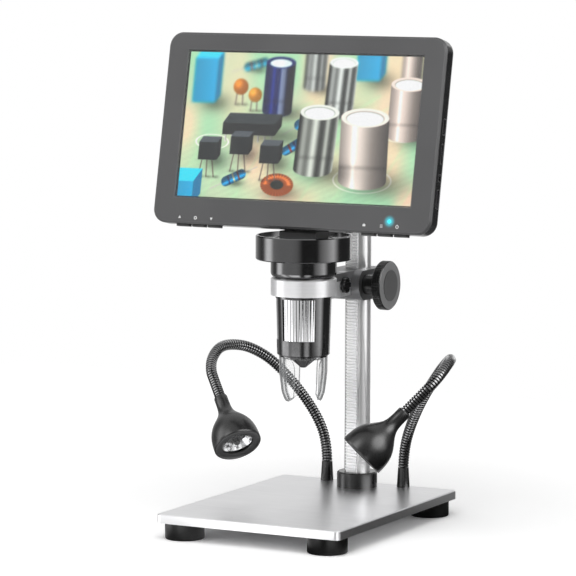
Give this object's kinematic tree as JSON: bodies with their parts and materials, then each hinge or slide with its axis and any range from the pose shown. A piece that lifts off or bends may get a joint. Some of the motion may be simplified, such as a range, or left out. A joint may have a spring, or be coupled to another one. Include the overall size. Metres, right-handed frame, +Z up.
{
  "type": "lcd digital microscope",
  "caption": "Digital microscope with a tilting monitor on a rack-and-pinion column stand, a clear tip shield and gooseneck lamps over a metal base plate.",
  "frame": {"origin": "centre of the footprint on the table, at the undersides of the feet", "axes": "+Z up, +X to the right and +Y to the back as seen by the person who looks at the monitor"},
  "size_m": [0.183, 0.1612, 0.2936],
  "materials": {
    "brushed_plate": "bright brushed aluminium plate",
    "foot_rubber": "black moulded rubber foot",
    "screw_steel": "zinc-plated steel screw",
    "column_metal": "satin ground steel column",
    "rack_metal": "milled steel rack",
    "black_anodised": "black anodised, half gloss",
    "carriage_grey": "fine-grained grey anodised metal",
    "clamp_silver": "turned bright aluminium",
    "bearing_brass": "plain brass bush",
    "black_gloss": "glossy black moulded plastic",
    "black_satin": "satin black moulded plastic",
    "bezel_grey": "dark grey satin moulded plastic",
    "knob_face": "dark grey knob inlay",
    "chrome_trim": "fluted chrome-plated grip",
    "neck_grey": "dark grey moulded plastic",
    "clear_plastic": "clear moulded plastic",
    "screen_glass": "clear cover over the display",
    "display": "lit display panel showing a magnified picture",
    "lens_glass": "coated lens glass",
    "board_green": "green circuit board",
    "cell_silver": "foil-wrapped flat cell",
    "led_white": "white light-emitting diodes on their board",
    "led_cyan": "lit cyan status lamp",
    "socket_metal": "stamped steel socket shells",
    "neck_black": "black ribbed flexible steel tube",
    "reflector_chrome": "mirror-bright reflector"
  },
  "bodies": {
    "base": {"base_plate": "brushed_plate", "feet": "foot_rubber", "foot_screws": "screw_steel", "column": "column_metal", "column_screw": "screw_steel", "column_collar": "black_anodised", "rack": "rack_metal", "lamp_socket_left": "black_satin", "lamp_socket_right": "black_satin"},
    "carriage": {"carriage_body": "carriage_grey", "column_bush": "black_satin", "pinion_bushes": "bearing_brass", "ring_clamp": "clamp_silver", "arm_screws": "screw_steel"},
    "pinion": {"pinion_shaft": "column_metal", "focus_knob_left": "black_satin", "focus_knob_right": "black_satin", "knob_caps": "knob_face"},
    "clamp_screw": {"thumbscrew": "black_satin"},
    "head": {"upper_barrel": "black_gloss", "lower_barrel": "black_gloss", "grip_inserts": "chrome_trim", "neck_block": "neck_grey", "hinge_pin": "screw_steel", "clear_shield": "clear_plastic", "led_ring": "led_white", "sensor_board": "board_green"},
    "focus_wheel": {"focus_ring": "black_gloss"},
    "lens": {"lens_carrier": "black_satin", "objective_lens": "lens_glass"},
    "monitor": {"front_bezel": "bezel_grey", "screen_glass": "screen_glass", "lcd_panel": "display", "rear_cover": "black_gloss", "main_board": "board_green", "side_sockets": "socket_metal", "battery": "cell_silver", "status_led": "led_cyan", "cover_screws": "screw_steel", "tilt_bracket": "neck_grey"},
    "key_up": {"button_up": "black_gloss"},
    "key_ok": {"button_ok": "black_gloss"},
    "key_down": {"button_down": "black_gloss"},
    "key_capture": {"button_capture": "black_gloss"},
    "key_menu": {"button_menu": "black_gloss"},
    "key_power": {"button_power": "black_gloss"},
    "lamp_neck_left": {"neck_lower_left": "neck_black"},
    "lamp_arm_left": {"neck_upper_left": "neck_black"},
    "lamp_head_left": {"neck_end_left": "neck_black", "lamp_shell_left": "black_gloss", "lamp_lens_left": "lens_glass", "lamp_reflector_left": "reflector_chrome", "lamp_leds_left": "led_white"},
    "lamp_neck_right": {"neck_lower_right": "neck_black"},
    "lamp_arm_right": {"neck_upper_right": "neck_black"},
    "lamp_head_right": {"neck_end_right": "neck_black", "lamp_shell_right": "black_gloss", "lamp_lens_right": "lens_glass", "lamp_reflector_right": "reflector_chrome", "lamp_leds_right": "led_white"}
  },
  "joints": [
    {"name": "carriage_slide", "type": "slide", "parent": "base", "child": "carriage", "axis": [0, 0, 1], "range_m": [-0.045, 0.045]},
    {"name": "pinion_spin", "type": "hinge", "parent": "carriage", "child": "pinion", "pos_m": [0, 0.05, 0.1416], "axis": [1, 0, 0], "range_deg": [-540, 540]},
    {"name": "clamp_screw_turn", "type": "hinge", "parent": "carriage", "child": "clamp_screw", "pos_m": [0, 0.03, 0.1427], "axis": [1, 0, 0], "range_deg": [-180, 180]},
    {"name": "head_swivel", "type": "hinge", "parent": "carriage", "child": "head", "pos_m": [0, -0.00895, 0.1454], "axis": [0, 0, 1], "range_deg": [-35, 35]},
    {"name": "focus_turn", "type": "hinge", "parent": "head", "child": "focus_wheel", "pos_m": [0, -0.00895, 0.168], "axis": [0, 0, 1], "range_deg": [-150, 150]},
    {"name": "lens_focus", "type": "slide", "parent": "head", "child": "lens", "axis": [0, 0, 1], "range_m": [-0.0027, 0.0027]},
    {"name": "monitor_tilt", "type": "hinge", "parent": "head", "child": "monitor", "pos_m": [0, -0.00565, 0.186], "axis": [-1, 0, 0], "range_deg": [-4, 25]},
    {"name": "press_up", "type": "slide", "parent": "monitor", "child": "key_up", "axis": [0, 0.1995, 0.9799], "range_m": [0, 0.0008], "stiffness_N_per_m": 400},
    {"name": "press_ok", "type": "slide", "parent": "monitor", "child": "key_ok", "axis": [0, 0.1995, 0.9799], "range_m": [0, 0.0008], "stiffness_N_per_m": 400},
    {"name": "press_down", "type": "slide", "parent": "monitor", "child": "key_down", "axis": [0, 0.1995, 0.9799], "range_m": [0, 0.0008], "stiffness_N_per_m": 400},
    {"name": "press_capture", "type": "slide", "parent": "monitor", "child": "key_capture", "axis": [0, 0.1995, 0.9799], "range_m": [0, 0.0008], "stiffness_N_per_m": 400},
    {"name": "press_menu", "type": "slide", "parent": "monitor", "child": "key_menu", "axis": [0, 0.1995, 0.9799], "range_m": [0, 0.0008], "stiffness_N_per_m": 400},
    {"name": "press_power", "type": "slide", "parent": "monitor", "child": "key_power", "axis": [0, 0.1995, 0.9799], "range_m": [0, 0.0008], "stiffness_N_per_m": 400},
    {"name": "lamp_swing_left", "type": "hinge", "parent": "base", "child": "lamp_neck_left", "pos_m": [-0.0262, 0.0746, 0.022], "axis": [0, 0, 1], "range_deg": [-40, 15]},
    {"name": "lamp_bend_left", "type": "hinge", "parent": "lamp_neck_left", "child": "lamp_arm_left", "pos_m": [-0.072, 0.0437, 0.1006], "axis": [0.9976, 0.0697, 0], "range_deg": [-25, 12]},
    {"name": "lamp_nod_left", "type": "hinge", "parent": "lamp_arm_left", "child": "lamp_head_left", "pos_m": [-0.06948, 0.00761, 0.08275], "axis": [0.6111, 0.7916, 0], "range_deg": [-20, 20]},
    {"name": "lamp_swing_right", "type": "hinge", "parent": "base", "child": "lamp_neck_right", "pos_m": [0.0262, 0.0746, 0.022], "axis": [0, 0, -1], "range_deg": [-40, 15]},
    {"name": "lamp_bend_right", "type": "hinge", "parent": "lamp_neck_right", "child": "lamp_arm_right", "pos_m": [0.072, 0.0437, 0.1006], "axis": [0.9976, -0.0697, 0], "range_deg": [-25, 12]},
    {"name": "lamp_nod_right", "type": "hinge", "parent": "lamp_arm_right", "child": "lamp_head_right", "pos_m": [0.06948, 0.00761, 0.08275], "axis": [0.6111, -0.7916, 0], "range_deg": [-20, 20]}
  ],
  "couplings": [
    {"joint": "pinion_spin", "follows": "carriage_slide", "rad_per_m": -208.33},
    {"joint": "lens_focus", "follows": "focus_turn", "m_per_rad": 0.0010186}
  ]
}
